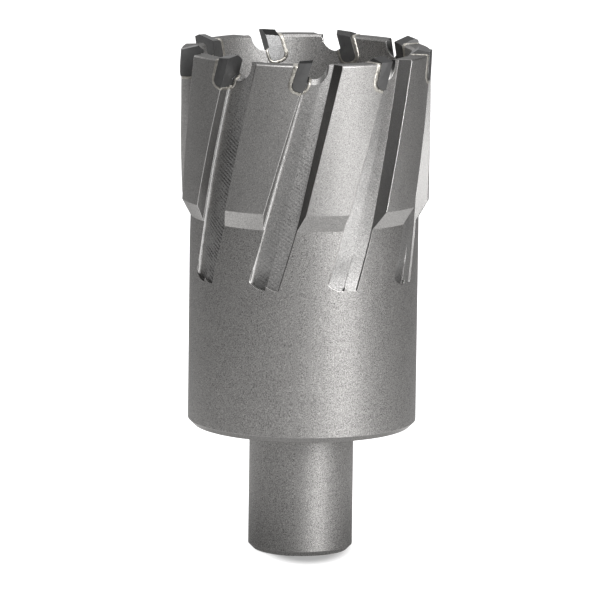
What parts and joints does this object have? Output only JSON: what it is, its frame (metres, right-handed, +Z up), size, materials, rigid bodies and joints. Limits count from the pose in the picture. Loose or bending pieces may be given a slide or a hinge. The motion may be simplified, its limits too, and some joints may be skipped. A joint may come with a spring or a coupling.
{
  "type": "annular cutter",
  "caption": "Carbide tipped annular cutter: a fluted steel cup on a plain round shank with two clamp flats, a hollow for the core and a through bore for a pilot pin.",
  "frame": {"origin": "on the cutter's axis at the end face of the shank, which it stands on", "axes": "+Z up the axis from the shank to the cutting tips; -Y towards the front of the picture; the clamp flats face +Y, turned 45 degrees to each side"},
  "size_m": [0.0457, 0.0457, 0.0933],
  "materials": {
    "steel": "fine blasted, satin",
    "carbide": "ground, satin",
    "braze": "as flowed"
  },
  "bodies": {
    "root": {"cutter_body": "steel", "carbide_tip_1": "carbide", "carbide_tip_2": "carbide", "carbide_tip_3": "carbide", "carbide_tip_4": "carbide", "carbide_tip_5": "carbide", "carbide_tip_6": "carbide", "carbide_tip_7": "carbide", "carbide_tip_8": "carbide", "carbide_tip_9": "carbide", "braze_seam_1": "braze", "braze_seam_2": "braze", "braze_seam_3": "braze", "braze_seam_4": "braze", "braze_seam_5": "braze", "braze_seam_6": "braze", "braze_seam_7": "braze", "braze_seam_8": "braze", "braze_seam_9": "braze"}
  },
  "joints": []
}
